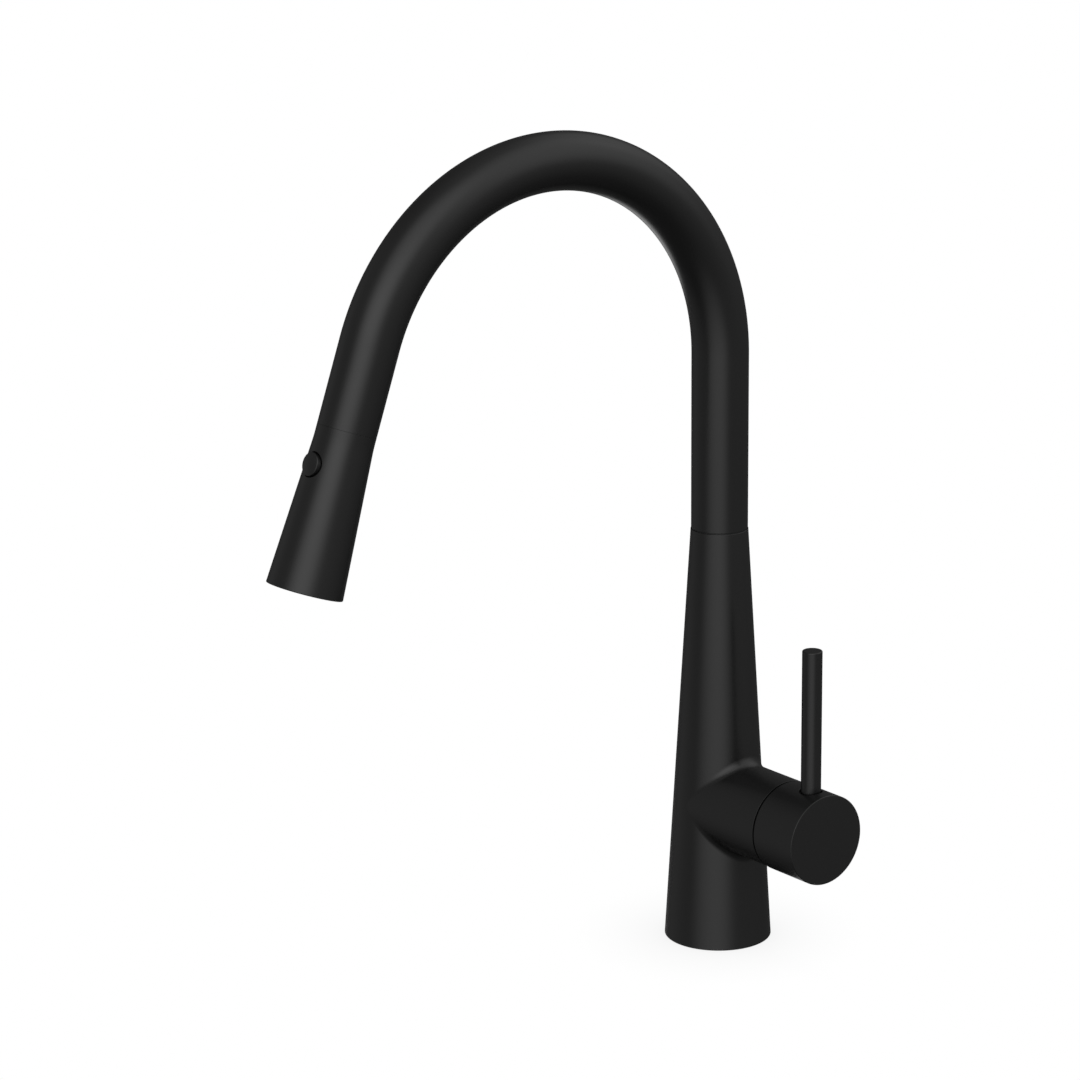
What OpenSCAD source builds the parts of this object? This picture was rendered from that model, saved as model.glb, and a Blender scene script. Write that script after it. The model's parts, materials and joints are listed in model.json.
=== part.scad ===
// Pull-down kitchen faucet: conical body, swivelling gooseneck spout, magnetically
// docked spray head and a side lever. Millimetres. +Z is up, the spout points along
// -Y and the lever housing along +X. The origin is the centre of the foot on the deck.

/* [Body] */
// Radius of the foot on the deck
base_r = 26.75; // [24:0.25:30]
// Height of the seam between body and spout
body_h = 212.3; // [190:0.1:240]
// Radius of the body at that seam
neck_r = 14.2; // [14.1:0.05:16]

/* [Spout] */
// Outer radius of the spout tube
tube_r = 14; // [13.9:0.05:14.1]
// Wall of the spout tube
tube_wall = 1.3; // [1:0.1:1.6]
// Height where the gooseneck starts to bend
bend_z = 300; // [270:1:340]
// Centreline radius of the gooseneck
bend_r = 107.45; // [95:0.05:120]
// Angle through which the gooseneck turns
bend_deg = 160.4; // [150:0.1:170]
// Straight length between the bend and the head's seam
straight_l = 40.5; // [38:0.5:50]

/* [Spray head] */
// Length of the head below its seam
head_l = 76; // [70:1:90]
// Radius of the head at its outlet
outlet_r = 18.15; // [17.5:0.05:20]
// Distance from the seam to the middle of the spray button
button_at = 18.5; // [17:0.1:24]
// Radius of the spray button
button_r = 5.6; // [5:0.1:6]
// How far the spray button presses in
button_travel = 1.8; // [1:0.1:2]

/* [Lever] */
// Height of the lever's turning axis above the deck
axis_z = 71.75; // [68:0.25:80]
// Radius of the housing on the side of the body
housing_r = 22.4; // [22.2:0.05:23]
// Distance from the body's axis to the end of the housing
housing_x = 52; // [50:0.5:54]
// Radius of the turning cap
cap_r = 22.6; // [22.4:0.05:23.5]
// Gap between the housing and the turning cap
cap_gap = 1.3; // [0.5:0.1:2]
// Length of the turning cap
cap_l = 27.55; // [26:0.05:30]
// Radius of the lever pin
lever_r = 4.95; // [4.5:0.05:5.5]
// Height of the top of the lever pin when the water is off
lever_top = 165.7; // [140:0.1:190]
// Distance from the body's axis to the lever pin
lever_x = 69.5; // [67:0.5:72]

/* [Hidden] */
$fn = 72;
wall_r = tube_r - tube_wall;
hose_r = 6;
washer_t = 0.4;
seam_gap = 0.1;
shaft_fit = 0.05;

// stations along the spray head's axis, counted from the end of the bend
seam_s = straight_l;
out_s = seam_s + head_l;
button_s = seam_s + button_at;
taper_s = seam_s + 5.5;
taper = (outlet_r - tube_r) / (out_s - taper_s);
shell_t = 1.7;

// heights across the spray button, measured from the head's axis
flange_y = 9.7;
flange_t = 1;
flange_r = button_r + 1.2;
face_y = 16.6;
dome_r = 16;
flat_y = flange_y - button_travel - 0.4;

// chamber behind the nozzles, and the two screws that close it
chamber_s = 100;
pad_s = 104.8;
plate_s = 107;
screw_at = 11.3;
screw_r = 0.8;
nozzle_at = 13;
nozzle_r = 1.15;
nozzle_way = 0.5;

// diverter behind the spray button
spool_r = 4.05;
spool_seals = [-2.2, 2.2];
spool_seat = 3;

// stations along the lever's turning axis, and radii round it
floor_x = 24;
disc_x = floor_x + 4;
nut_x = 43.8;
guide_x = housing_x - 1.5;
cap_x = housing_x + cap_gap;
cap_end = cap_x + cap_l;
set_x = lever_x - 9;
cartridge_r = 17.4;
guide_r = 21;
guide_in = 18.9;
spindle_r = 5.05;
set_r = 2.5;
thread_r = 3;
pin_recess = 0.8;

// swivel between body and spout
sleeve_z = body_h - 40.3;
sleeve_top = body_h + 19.7;
lock_z = body_h - 21.3;
sleeve_r = 11;
sleeve_in = 8.6;
swivel_bore = 11.3;
swivel_seal_z = [sleeve_z + 5, sleeve_z + 11];
slide_ring_z = [sleeve_z + 1, sleeve_z + 33];

// deck seal and threaded connections under the foot
seal_out = base_r - 1.15;
seal_in = seal_out - 1.7;
seal_t = 2.6;
way_r = 3;
port_x = 13;
port_y = 13;
outlet_x = 19;
port_r = 4.5;
stud_y = 17;
stud_r = 3.4;

// cartridge ports, as offsets from the turning axis
inlet_y = 8;
inlet_dz = -5.75;
mixed_dz = 9;
disc_ports = [[-inlet_y, inlet_dz], [inlet_y, inlet_dz], [0, mixed_dz]];

// ---- shared shapes ---------------------------------------------------------

// outer radius of the body at height z
function body_r(z) = base_r + (neck_r - base_r) * z / body_h;

// outer radius of the spray head at station s
function head_r(s) = tube_r + max(0, s - taper_s) * taper;

// cylinder along +X, from x0 to x1, centred on the lever's turning axis
module axle(x0, x1, r, y = 0, dz = 0) {
    translate([x0, y, axis_z + dz])
        rotate([0, 90, 0])
            cylinder(r = r, h = x1 - x0);
}

// ring along +X on the lever's turning axis
module axle_ring(x0, x1, r_out, r_in) {
    difference() {
        axle(x0, x1, r_out);
        axle(x0 - 1, x1 + 1, r_in);
    }
}

// upright ring on the body's axis
module ring(z0, z1, r_out, r_in) {
    translate([0, 0, z0])
        difference() {
            cylinder(r = r_out, h = z1 - z0);
            translate([0, 0, -1])
                cylinder(r = r_in, h = z1 - z0 + 2);
        }
}

// slanted round passage between two points
module passage(a, b, r) {
    d = b - a;
    translate(a)
        rotate([0, acos(d.z / norm(d)), atan2(d.y, d.x)])
            cylinder(r = r, h = norm(d));
}

// frame of the spray head: local z runs down the head, local y points to its button
module in_head() {
    translate([0, -bend_r, bend_z])
        rotate([bend_deg, 0, 0])
            translate([0, bend_r, 0])
                children();
}

// cylinder along the head's local y, at the spray button
module button_rod(y0, y1, r) {
    translate([0, y0, button_s])
        rotate([-90, 0, 0])
            cylinder(r = r, h = y1 - y0);
}

// hollow tube along the gooseneck, from height z0 up and over to station s1; its
// straight ends reach a little into the bend
module gooseneck(z0, s1, r_out, r_in) {
    lap = 0.3;
    swell = 0.02;
    ring(z0, bend_z + lap, r_out, r_in);
    translate([0, -bend_r, bend_z])
        rotate([90, 0, 90])
            rotate_extrude(angle = bend_deg, $fn = 120)
                translate([bend_r, 0])
                    difference() {
                        circle(r = r_out + swell, $fn = 40);
                        circle(r = r_in - swell, $fn = 40);
                    }
    in_head()
        ring(-lap, s1, r_out, r_in);
}

// ---- body ------------------------------------------------------------------

module body() {
    color([0.13, 0.13, 0.14])
        difference() {
            union() {
                cylinder(r1 = base_r, r2 = neck_r, h = body_h);
                axle(0, housing_x, housing_r);
            }
            body_passages();
            body_cartridge_seat();
            body_threads();
        }
}

// the hose passage and the seat of the swivelling sleeve
module body_passages() {
    translate([0, 0, -1])
        cylinder(r = 9, h = body_h + 2);
    translate([0, 0, sleeve_z - 2])
        cylinder(r = swivel_bore, h = body_h);
    // groove for the deck seal
    difference() {
        translate([0, 0, -1])
            cylinder(r = seal_out, h = seal_t + 1);
        translate([0, 0, -2])
            cylinder(r = seal_in, h = 6);
    }
}

// the stepped cavity that holds the cartridge, its nut and the glide ring
module body_cartridge_seat() {
    axle(floor_x, 46, cartridge_r + 0.2);
    axle(nut_x, housing_x + 1, 19);
    axle(guide_x, housing_x + 1, guide_r);
    // seats for the cartridge's two locating pegs
    for (side = [-1, 1])
        axle(floor_x - 3, floor_x + 1, 2.05, side * 12.5, 7);
}

// water ways and the threads under the foot
module body_threads() {
    for (side = [-1, 1]) {
        translate([port_x, side * port_y, -1])
            cylinder(r = port_r, h = 15);
        translate([port_x, side * port_y, 0])
            cylinder(r = way_r, h = 62);
        passage([port_x, side * port_y, 61], [floor_x + 1, side * inlet_y, axis_z + inlet_dz], way_r);
        translate([0, side * stud_y, -1])
            cylinder(r = stud_r, h = 15);
    }
    translate([outlet_x, 0, -1])
        cylinder(r = port_r, h = 15);
    translate([outlet_x, 0, 0])
        cylinder(r = way_r, h = axis_z + mixed_dz);
    axle(outlet_x, floor_x + 1, way_r, 0, mixed_dz);
    // hole of the swivel lock screw, at the back of the body
    translate([0, 10, lock_z])
        rotate([-90, 0, 0])
            cylinder(r = 2.5, h = 10);
}

module deck_seal() {
    color([0.05, 0.05, 0.05])
        ring(0, seal_t, seal_out, seal_in);
}

module swivel_washer() {
    color([0.05, 0.05, 0.05])
        ring(body_h, body_h + washer_t, 13.5, 11.1);
}

module swivel_lock_screw() {
    color([0.12, 0.12, 0.13])
        translate([0, 10.2, lock_z])
            rotate([-90, 0, 0])
                difference() {
                    cylinder(r = 2.5, h = 5.1);
                    translate([0, 0, 2.6])
                        cylinder(r = 1.4, h = 4, $fn = 6);
                }
}

// ---- cartridge -------------------------------------------------------------

// round holes through a cartridge part at its three ports
module port_holes(x0, x1, r) {
    for (p = disc_ports)
        axle(x0, x1, r, p[0], p[1]);
}

module cartridge_base() {
    color([0.85, 0.85, 0.82])
        difference() {
            union() {
                axle(floor_x, disc_x, cartridge_r);
                for (side = [-1, 1])
                    axle(floor_x - 2.8, floor_x + 1, 1.95, side * 12.5, 7);
            }
            port_holes(floor_x - 1, 29, 2.5);
            port_holes(floor_x - 1, floor_x + 1.5, 4.4);
        }
}

module port_seals() {
    color([0.08, 0.08, 0.08])
        difference() {
            port_holes(floor_x, floor_x + 1.5, 4.3);
            port_holes(floor_x - 1, floor_x + 3, 2.9);
        }
}

module fixed_disc() {
    color([0.93, 0.93, 0.9])
        difference() {
            axle(disc_x, disc_x + 3, 14);
            port_holes(27, 32, 2.5);
            // keying notches
            for (side = [-1, 1])
                axle(27, 32, 1.6, side * 14, 0);
        }
}

module cartridge_shell() {
    color([0.85, 0.85, 0.82])
        difference() {
            union() {
                axle(disc_x, nut_x, cartridge_r);
                axle(43, 49.5, 10);
            }
            axle(27, 41.5, 14.2);
            axle(40, 51, spindle_r + shaft_fit);
        }
    // keys that hold the fixed disc
    color([0.85, 0.85, 0.82])
        intersection() {
            axle_ring(disc_x, disc_x + 3, 14.3, 11);
            for (side = [-1, 1])
                axle(disc_x, disc_x + 3, 1.5, side * 14, 0);
        }
}

module cartridge_nut() {
    color([0.78, 0.66, 0.36])
        difference() {
            axle(nut_x, 50.3, 18.95);
            axle(43, 51, 10.2);
            // spanner slots
            for (a = [0 : 60 : 300])
                translate([47.5, 0, axis_z])
                    rotate([a, 0, 0])
                        translate([0, -2, 15.5])
                            cube([4, 4, 5]);
        }
}

// guide of the turning cap, waisted where it crosses the gap
module glide_ring() {
    color([0.06, 0.06, 0.06]) {
        axle_ring(guide_x, housing_x - 0.4, guide_r - shaft_fit, guide_in);
        axle_ring(housing_x - 0.5, cap_x + 0.5, 19.6, guide_in);
        axle_ring(cap_x + 0.4, cap_x + 3.7, guide_r - shaft_fit, guide_in);
    }
}

// end stop of the lever: the gap in its raised sector holds the cap's lug and leaves
// it the lever's working angle, with one degree to spare at each end
module stop_ring() {
    color([0.06, 0.06, 0.06]) {
        axle_ring(50.3, 53.2, 18.6, 10.2);
        translate([53.2, 0, axis_z])
            rotate([90, 0, 90])
                rotate_extrude(angle = 240, start = 99)
                    translate([13, 0])
                        square([5.6, 2.6]);
    }
}

// ---- lever -----------------------------------------------------------------

module handle_cap() {
    color([0.13, 0.13, 0.14])
        difference() {
            union() {
                translate([cap_x, 0, axis_z])
                    rotate([0, 90, 0])
                        cylinder(r = cap_r, h = cap_l - 0.5);
                translate([cap_end - 0.5, 0, axis_z])
                    rotate([0, 90, 0])
                        cylinder(r1 = cap_r, r2 = cap_r - 0.5, h = 0.5);
            }
            // skirt over the glide ring
            axle(cap_x - 1, cap_x + 4.2, guide_r);
            // lightening pocket around the boss
            axle_ring(56, 63, 19, 9);
            // square socket for the spindle
            translate([50, -3.8, axis_z - 3.8])
                cube([15, 7.6, 7.6]);
            // lever pin and its thread
            translate([lever_x, 0, axis_z + 10])
                cylinder(r = lever_r, h = 20);
            translate([lever_x, 0, axis_z + 4.5])
                cylinder(r = thread_r, h = 10);
            // shallow recess round the foot of the pin
            translate([lever_x, 0, axis_z + 20.5])
                cylinder(r = lever_r + pin_recess, h = 10);
            // set screw, entered from below
            translate([set_x, 0, axis_z - 30])
                cylinder(r = set_r, h = 28);
            translate([set_x, 0, axis_z - 30])
                cylinder(r = set_r + 0.5, h = 10.2);
        }
    // lug that meets the stop ring
    color([0.13, 0.13, 0.14])
        translate([53.6, 0, axis_z])
            rotate([90, 0, 90])
                rotate_extrude(angle = 18, start = 340)
                    translate([13.2, 0])
                        square([5.2, 10]);
}

module lever_pin() {
    color([0.13, 0.13, 0.14])
        translate([lever_x, 0, 0]) {
            translate([0, 0, axis_z + 10])
                cylinder(r = lever_r, h = lever_top - axis_z - 10.45);
            translate([0, 0, lever_top - 0.45])
                cylinder(r1 = lever_r, r2 = lever_r - 0.45, h = 0.45);
            translate([0, 0, axis_z + 5])
                cylinder(r = thread_r, h = 6);
        }
}

module set_screw() {
    color([0.3, 0.3, 0.3])
        translate([set_x, 0, axis_z - 11.75])
            difference() {
                cylinder(r = set_r, h = 8);
                translate([0, 0, -1])
                    cylinder(r = 1.4, h = 4, $fn = 6);
            }
}

module set_screw_plug() {
    color([0.06, 0.06, 0.06])
        translate([set_x, 0, axis_z])
            intersection() {
                translate([0, 0, -23])
                    cylinder(r = set_r + 0.5, h = 3);
                translate([-5, 0, 0])
                    rotate([0, 90, 0])
                        cylinder(r = cap_r - 0.15, h = 10);
            }
}

module spindle() {
    color([0.78, 0.66, 0.36])
        difference() {
            union() {
                axle(37.5, 40.5, 9);
                axle(40.5, 51, spindle_r);
                translate([51, -3.75, axis_z - 3.75])
                    cube([13, 7.5, 7.5]);
            }
            axle_ring(44.5, 46.5, 6, 3.8);
        }
}

module spindle_seal() {
    color([0.06, 0.06, 0.06])
        axle_ring(44.55, 46.45, spindle_r - 0.01, 3.8);
}

module disc_carrier() {
    color([0.25, 0.25, 0.27])
        difference() {
            axle(34.05, 37.5, 13.5);
            // seat for the moving disc's back
            axle(33, 34.4, 9);
        }
    color([0.25, 0.25, 0.27])
        for (a = [45 : 90 : 315])
            translate([0, 0, axis_z])
                rotate([a, 0, 0])
                    disc_lug();
}

// drive lug that enters a notch of the moving disc
module disc_lug() {
    translate([32, -1.8, 11.2])
        cube([2.5, 3.6, 1.9]);
}

module moving_disc() {
    color([0.93, 0.93, 0.9])
        difference() {
            axle(31.05, 34.05, 13);
            // mixing pocket that joins the inlets to the outlet
            translate([30, 0, axis_z])
                rotate([90, 0, 90])
                    rotate_extrude(angle = 150, start = 15)
                        translate([5.5, 0])
                            square([5, 2.6]);
            for (a = [45 : 90 : 315])
                translate([0, 0, axis_z])
                    rotate([a, 0, 0])
                        translate([31.95, -1.85, 11.1])
                            cube([2.5, 3.7, 3]);
        }
}

// ---- spout -----------------------------------------------------------------

module spout_tube() {
    color([0.13, 0.13, 0.14])
        gooseneck(body_h + washer_t, seam_s - seam_gap, tube_r, wall_r);
}

module swivel_sleeve() {
    color([0.78, 0.66, 0.36])
        difference() {
            union() {
                ring(body_h + washer_t, sleeve_top, wall_r, sleeve_in);
                ring(sleeve_z, body_h + washer_t, sleeve_r, sleeve_in);
            }
            // grooves for the two seals, the two slide rings and the lock screw
            for (z = swivel_seal_z)
                ring(z, z + 2, sleeve_r + 1, 9.6);
            for (z = slide_ring_z)
                ring(z, z + 3, sleeve_r + 1, 10);
            ring(lock_z - 3.2, lock_z + 3.2, sleeve_r + 1, 9.8);
        }
}

module swivel_seals() {
    color([0.06, 0.06, 0.06])
        for (z = swivel_seal_z)
            ring(z + 0.05, z + 1.95, swivel_bore - 0.04, 9.6);
}

module slide_rings() {
    color([0.9, 0.9, 0.86])
        for (z = slide_ring_z)
            ring(z + 0.05, z + 2.95, swivel_bore - 0.05, 10);
}

module docking_collar() {
    color([0.1, 0.1, 0.1])
        in_head() {
            ring(10, 18, wall_r, 6.6);
            ring(18, seam_s - 3, wall_r, 11.1);
        }
}

module dock_magnet() {
    color([0.6, 0.6, 0.62])
        in_head()
            ring(18, 21, 11.1, 7.6);
}

module spray_hose() {
    color([0.2, 0.2, 0.21])
        gooseneck(24, 15, hose_r, 4);
}

module hose_connector() {
    color([0.78, 0.66, 0.36])
        difference() {
            union() {
                ring(3, 24, 7.2, 3.9);
                ring(24, 34, 7.2, hose_r);
            }
            translate([0, 0, 2])
                cylinder(r = 5.2, h = 11);
        }
}

// ---- hose end, turning in the head's inlet -------------------------------

module hose_ferrule() {
    color([0.7, 0.7, 0.72])
        in_head()
            ring(15.1, 26, 6.4, 4);
}

module hose_fitting() {
    color([0.78, 0.66, 0.36])
        in_head()
            ring(26, 38, 7.15, 4);
}

// snap ring that keeps the hose fitting in the head
module fitting_clip() {
    color([0.7, 0.7, 0.72])
        in_head()
            ring(24.6, 25.7, 7.75, 6.7);
}

module inlet_washer() {
    color([0.06, 0.06, 0.06])
        in_head()
            ring(38, 39.9, 7, 3);
}

// ---- spray head ------------------------------------------------------------

module head_shell() {
    color([0.13, 0.13, 0.14])
        in_head()
            difference() {
                rotate_extrude($fn = 96)
                    polygon([
                        [11.2, seam_s], [tube_r - 0.1, seam_s], [tube_r, seam_s + 0.1],
                        [tube_r, taper_s], [outlet_r, out_s - 0.3], [outlet_r - 0.3, out_s],
                        [outlet_r - shell_t, out_s], [tube_r - shell_t, taper_s],
                        [tube_r - shell_t, seam_s + 2.2], [11.2, seam_s + 2.2]
                    ]);
                button_rod(6, 24, button_r + 0.6);
            }
}

module waterway() {
    color([0.3, 0.3, 0.32])
        in_head()
            difference() {
                union() {
                    translate([0, 0, 22])
                        cylinder(r = 10.8, h = 24);
                    translate([0, 0, 43])
                        cylinder(r = 12.1, h = 3);
                    translate([0, 0, 45])
                        cylinder(r = 9.5, h = 50);
                    translate([0, 0, 92])
                        cylinder(r = 14.8, h = 8);
                }
                // hose inlet, check valve seat and straight way to the outlet
                translate([0, 0, 21])
                    cylinder(r = 7.2, h = 19);
                translate([0, 0, 39])
                    cylinder(r = 4.5, h = 13);
                translate([0, 0, 51])
                    cylinder(r = 3, h = 60);
                // cross bore of the diverter and the flat around it
                button_rod(-7.5, 12, spool_r + 0.1);
                button_rod(flat_y, 12, flange_r + 0.6);
                // side way to the chamber behind the spray nozzles
                translate([0, -6.5, button_s - 3])
                    cylinder(r = 1.5, h = 33);
                passage([0, -6.5, button_s + 29], [0, -11, chamber_s + 1], 1.3);
                // groove of the snap ring and seat of the magnet ring
                ring(24.5, 25.8, 7.8, 5);
                ring(21, 25, 12, 8.6);
                // threads of the two plate screws
                at_plate_screws()
                    translate([0, 0, 94])
                        cylinder(r = screw_r, h = 8);
            }
}

module head_magnet() {
    color([0.6, 0.6, 0.62])
        in_head()
            ring(22, 25, 10.8, 8.6);
}

module check_valve() {
    color([0.9, 0.9, 0.86])
        in_head() {
            ring(41, 50, 4.45, 3.2);
            translate([0, 0, 45])
                cylinder(r = 3.25, h = 1.2);
        }
}

module aerator_cup() {
    color([0.12, 0.12, 0.12])
        in_head() {
            ring(chamber_s, 113, 8.9, 7.6);
            ring(113, out_s - 0.9, 9.8, 7.6);
        }
}

module aerator_screen() {
    color([0.7, 0.7, 0.72])
        in_head()
            difference() {
                translate([0, 0, 112.5])
                    cylinder(r = 7.6, h = 1.5);
                for (x = [-5 : 2.5 : 5])
                    for (y = [-5 : 2.5 : 5])
                        if (norm([x, y]) < 6)
                            translate([x - 0.8, y - 0.8, 112])
                                cube([1.6, 1.6, 3]);
            }
}

// angles of the nozzles round the plate
nozzle_angles = [0 : 22.5 : 337.5];

// the two plate screws stand between nozzles, opposite each other
module at_plate_screws() {
    for (a = [11.25, 191.25])
        rotate([0, 0, a])
            translate([screw_at, 0, 0])
                children();
}

module spray_plate() {
    color([0.08, 0.08, 0.09])
        in_head()
            difference() {
                union() {
                    ring(plate_s, 113, 15.8, 9);
                    ring(113, out_s - 0.8, 16.2, 9.9);
                }
                for (a = nozzle_angles)
                    rotate([0, 0, a])
                        translate([nozzle_at, 0, plate_s - 1])
                            cylinder(r = nozzle_r + 0.05, h = 12, $fn = 24);
                // stepped holes of the plate screws
                at_plate_screws() {
                    translate([0, 0, plate_s - 1])
                        cylinder(r = screw_r + 0.05, h = 12, $fn = 24);
                    translate([0, 0, 111])
                        cylinder(r = 1.2, h = 6, $fn = 24);
                }
            }
}

module nozzle_pad() {
    color([0.05, 0.05, 0.05])
        in_head() {
            difference() {
                ring(pad_s, plate_s, 15.2, 9.2);
                at_plate_screws()
                    translate([0, 0, pad_s - 1])
                        cylinder(r = screw_r + 0.1, h = 4, $fn = 24);
                // water way into each nozzle
                for (a = nozzle_angles)
                    rotate([0, 0, a])
                        translate([nozzle_at, 0, pad_s - 1])
                            cylinder(r = nozzle_way, h = 6, $fn = 24);
            }
            for (a = nozzle_angles)
                rotate([0, 0, a])
                    translate([nozzle_at, 0, plate_s - 0.2])
                        difference() {
                            cylinder(r = nozzle_r, h = out_s - plate_s, $fn = 24);
                            translate([0, 0, -1])
                                cylinder(r = nozzle_way, h = 14, $fn = 24);
                        }
        }
}

module face_seal() {
    color([0.06, 0.06, 0.06])
        in_head()
            ring(chamber_s, pad_s, 14.6, 13.1);
}

module plate_screws() {
    color([0.6, 0.6, 0.62])
        in_head()
            at_plate_screws() {
                translate([0, 0, 94.5])
                    cylinder(r = screw_r, h = 16.5, $fn = 24);
                translate([0, 0, 111])
                    difference() {
                        cylinder(r = 1.15, h = 1, $fn = 24);
                        translate([0, 0, 0.4])
                            cylinder(r = 0.5, h = 2, $fn = 6);
                    }
            }
}

// ---- spray button ----------------------------------------------------------

module spray_button() {
    color([0.08, 0.08, 0.09])
        in_head() {
            // stem with a domed face
            intersection() {
                button_rod(flange_y + flange_t / 2, face_y, button_r);
                translate([0, face_y - dome_r, button_s])
                    sphere(r = dome_r);
            }
            // flange that keeps the button in the shell
            button_rod(flange_y, flange_y + flange_t, flange_r);
        }
}

module diverter_spool() {
    color([0.9, 0.9, 0.86])
        in_head()
            difference() {
                button_rod(-3.6, flange_y, spool_r);
                // grooves for the two seals
                for (y = spool_seals)
                    button_groove(y - 0.9, y + 0.9, spool_seat);
                // waisted part that lets the water past
                button_groove(-1.1, 1.1, 2);
            }
}

// ring-shaped cut round the diverter spool
module button_groove(y0, y1, r) {
    difference() {
        button_rod(y0, y1, 5);
        button_rod(y0 - 1, y1 + 1, r);
    }
}

module diverter_seals() {
    color([0.06, 0.06, 0.06])
        in_head()
            for (y = spool_seals)
                difference() {
                    button_rod(y - 0.85, y + 0.85, spool_r + 0.05);
                    button_rod(y - 2, y + 2, spool_seat);
                }
}

// helical return spring between the bore's floor and the spool
module button_spring() {
    color([0.7, 0.7, 0.72])
        in_head()
            translate([0, -7.4, button_s])
                rotate([-90, 0, 0])
                    linear_extrude(height = 3.7, twist = -360 * 4, slices = 48, $fn = 8)
                        translate([2.8, 0])
                            circle(r = 0.45, $fn = 8);
}

body();
deck_seal();
swivel_washer();
swivel_lock_screw();
cartridge_base();
port_seals();
fixed_disc();
cartridge_shell();
cartridge_nut();
glide_ring();
stop_ring();
handle_cap();
lever_pin();
set_screw();
set_screw_plug();
spindle();
spindle_seal();
disc_carrier();
moving_disc();
spout_tube();
swivel_sleeve();
swivel_seals();
slide_rings();
docking_collar();
dock_magnet();
spray_hose();
hose_connector();
hose_ferrule();
hose_fitting();
fitting_clip();
inlet_washer();
head_shell();
waterway();
head_magnet();
check_valve();
aerator_cup();
aerator_screen();
spray_plate();
nozzle_pad();
face_seal();
plate_screws();
spray_button();
diverter_spool();
diverter_seals();
button_spring();
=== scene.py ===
"""Looks of the pull-down kitchen faucet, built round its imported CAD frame.

Lengths in this script are millimetres until a mesh is made."""

import json
import math

import bpy
import numpy as np
from mathutils import Matrix, Vector
from mathutils.geometry import delaunay_2d_cdt

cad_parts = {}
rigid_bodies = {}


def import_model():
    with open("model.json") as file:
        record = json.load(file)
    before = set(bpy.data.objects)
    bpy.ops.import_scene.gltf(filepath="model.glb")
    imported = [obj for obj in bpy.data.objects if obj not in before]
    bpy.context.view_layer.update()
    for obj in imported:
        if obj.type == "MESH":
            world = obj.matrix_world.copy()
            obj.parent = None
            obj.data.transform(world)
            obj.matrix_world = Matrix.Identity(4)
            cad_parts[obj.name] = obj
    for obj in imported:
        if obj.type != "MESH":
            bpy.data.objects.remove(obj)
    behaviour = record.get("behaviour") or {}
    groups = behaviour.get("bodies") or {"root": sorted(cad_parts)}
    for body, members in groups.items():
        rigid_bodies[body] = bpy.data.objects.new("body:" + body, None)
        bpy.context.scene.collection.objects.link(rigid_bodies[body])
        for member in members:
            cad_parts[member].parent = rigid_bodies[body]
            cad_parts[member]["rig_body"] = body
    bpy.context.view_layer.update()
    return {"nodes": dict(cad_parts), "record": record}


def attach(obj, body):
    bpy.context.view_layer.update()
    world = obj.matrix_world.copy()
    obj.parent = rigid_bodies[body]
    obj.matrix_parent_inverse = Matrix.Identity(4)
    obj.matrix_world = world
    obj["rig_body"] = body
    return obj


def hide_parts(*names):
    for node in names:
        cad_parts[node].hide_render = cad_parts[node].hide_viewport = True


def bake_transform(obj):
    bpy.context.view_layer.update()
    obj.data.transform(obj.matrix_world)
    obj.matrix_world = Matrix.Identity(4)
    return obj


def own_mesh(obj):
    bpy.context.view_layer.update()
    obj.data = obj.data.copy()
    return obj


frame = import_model()
MM = 0.001

# ---- sizes of the CAD model ----------------------------------------------------
BASE_R, NECK_R, BODY_H = 26.75, 14.2, 212.3
TUBE_R, BORE_R, BEND_Z, BEND_R, BEND = 14.0, 12.7, 300.0, 107.45, math.radians(160.4)
SEAM, OUT, TAPER_AT, OUTLET_R, SHELL = 40.5, 116.5, 46.0, 18.15, 1.7
WASHER, SEAM_GAP, SWIVEL_BORE = 0.4, 0.1, 11.3
BUTTON_AT, BUTTON_R, FACE_Y, FLANGE_Y, DOME_R = 59.0, 5.6, 16.6, 9.7, 16.0
NOZZLES, NOZZLE_RING, NOZZLE_R, NOZZLE_WAY = 16, 13.0, 1.15, 0.4
PAD_IN, PAD_OUT, PAD_TOP, PAD_FACE = 9.2, 15.2, 104.8, 107.0
LOCK_Z, LOCK_R = 191.0, 2.75
HOSE_R, HOSE_FOOT, HOSE_END, HOSE_LOOSE = 6.0, 24, 15, 8
SPRING_Y, SPRING_L, SPRING_R, WIRE_R, PRESS = -7.4, 3.7, 2.8, 0.22, 1.8
AXIS_Z, HOUSING_R, HOUSING_X = 71.75, 22.4, 52.0
CAP_X, CAP_END, CAP_R = 53.3, 80.85, 22.6
PIN_X, PIN_R, PIN_TOP = 69.5, 4.95, 165.7
RECESS, RECESS_Z, SET_X, SET_R = 0.8, 20.5, 60.5, 3.3  # round the pin, and the plugged screw hole
GUIDE_X, GUIDE_R, SKIRT_X, BOSS_R = 50.5, 21.0, 57.5, 8.0
SEAL_IN, SEAL_OUT, SEAL_T = 23.9, 25.6, 2.6
HOSE_BORE, STUD_Y, STUD_R, PORT_XY, PORT_R, MIXED_X, PORT_DEPTH = 9.0, 17.0, 3.4, 13.0, 4.5, 19.0, 14.0
FILLET = 5.0
TURN = 2 * math.pi

HEAD = (
    Matrix.Translation((0, -BEND_R, BEND_Z))
    @ Matrix.Rotation(BEND, 4, "X")
    @ Matrix.Translation((0, BEND_R, 0))
)
AXLE = Matrix(((0, 0, 1, 0), (0, -1, 0, 0), (1, 0, 0, AXIS_Z), (0, 0, 0, 1)))
UPRIGHT = Matrix.Identity(4)


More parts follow.
